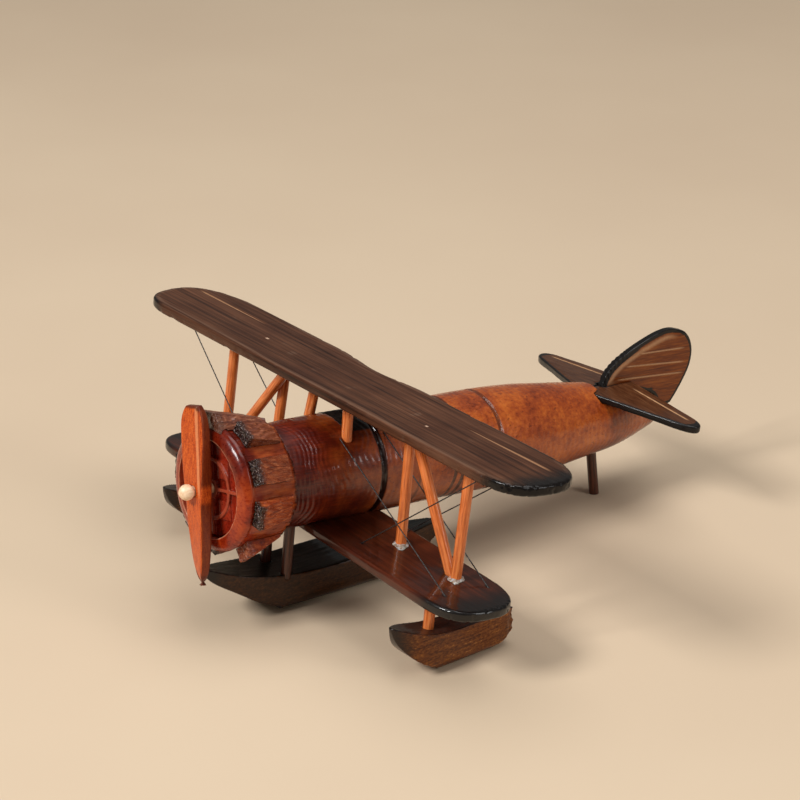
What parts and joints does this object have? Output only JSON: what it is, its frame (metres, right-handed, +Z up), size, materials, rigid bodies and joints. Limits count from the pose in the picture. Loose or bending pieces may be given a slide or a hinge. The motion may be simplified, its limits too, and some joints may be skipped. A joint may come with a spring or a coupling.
{
  "type": "wooden biplane floatplane desk ornament",
  "caption": "Free-standing handmade wooden biplane floatplane ornament with a drum cowl, dowel struts, thread rigging, floats and a propeller that turns on its peg.",
  "frame": {"origin": "centre of the whole model's box in plan, on the table plane under it", "axes": "+X to the model's port wing tip, +Y from nose to tail, +Z up from the table"},
  "size_m": [0.281, 0.301, 0.1057],
  "materials": {
    "lacquered_body": "gloss lacquer over red-orange stain",
    "cowl_lacquer": "gloss lacquer over red-orange stain",
    "scorched_block": "scorched and lacquered",
    "walnut_wing": "satin dark stain, scorched tips",
    "red_brown_wing": "gloss dark stain, scorched tips",
    "dowel_orange": "gloss lacquer on straight-grained dowel",
    "dowel_dark": "dark red-brown lacquer on dowel",
    "propeller_wood": "gloss lacquer",
    "pale_peg": "bare pale wood",
    "float_wood": "gloss lacquer, scorched deck",
    "tail_wood": "gloss lacquer, scorched edges",
    "black_thread": "thin waxed thread"
  },
  "bodies": {
    "airframe": {"cabane_strut_port": "dowel_orange", "cabane_strut_starboard": "dowel_orange", "cowl": "cowl_lacquer", "cylinder_01": "scorched_block", "cylinder_02": "scorched_block", "cylinder_03": "scorched_block", "cylinder_04": "scorched_block", "cylinder_05": "scorched_block", "cylinder_06": "scorched_block", "cylinder_07": "scorched_block", "cylinder_08": "scorched_block", "cylinder_09": "scorched_block", "diagonal_strut_port": "dowel_orange", "diagonal_strut_starboard": "dowel_orange", "engine_face": "cowl_lacquer", "fin": "tail_wood", "front_flying_wire_port": "black_thread", "front_flying_wire_starboard": "black_thread", "front_landing_wire_port": "black_thread", "front_landing_wire_starboard": "black_thread", "fuselage": "lacquered_body", "inner_strut_port": "dowel_orange", "inner_strut_starboard": "dowel_orange", "lower_wing": "red_brown_wing", "main_float": "float_wood", "main_float_dowel_port": "dowel_dark", "main_float_dowel_starboard": "dowel_dark", "outer_strut_port": "dowel_orange", "outer_strut_starboard": "dowel_orange", "propeller_peg": "pale_peg", "rear_flying_wire_port": "black_thread", "rear_flying_wire_starboard": "black_thread", "rear_landing_wire_port": "black_thread", "rear_landing_wire_starboard": "black_thread", "stabilizer_port": "tail_wood", "stabilizer_starboard": "tail_wood", "tail_post": "dowel_dark", "tip_float_dowel_port": "dowel_orange", "tip_float_dowel_starboard": "dowel_orange", "tip_float_port": "float_wood", "tip_float_starboard": "float_wood", "upper_wing": "walnut_wing"},
    "propeller": {"propeller": "propeller_wood"}
  },
  "joints": [
    {"name": "propeller_spin", "type": "hinge", "parent": "airframe", "child": "propeller", "pos_m": [-0.00234, -0.14095, 0.06843], "axis": [0, 0.9932, -0.1167], "continuous": true}
  ]
}
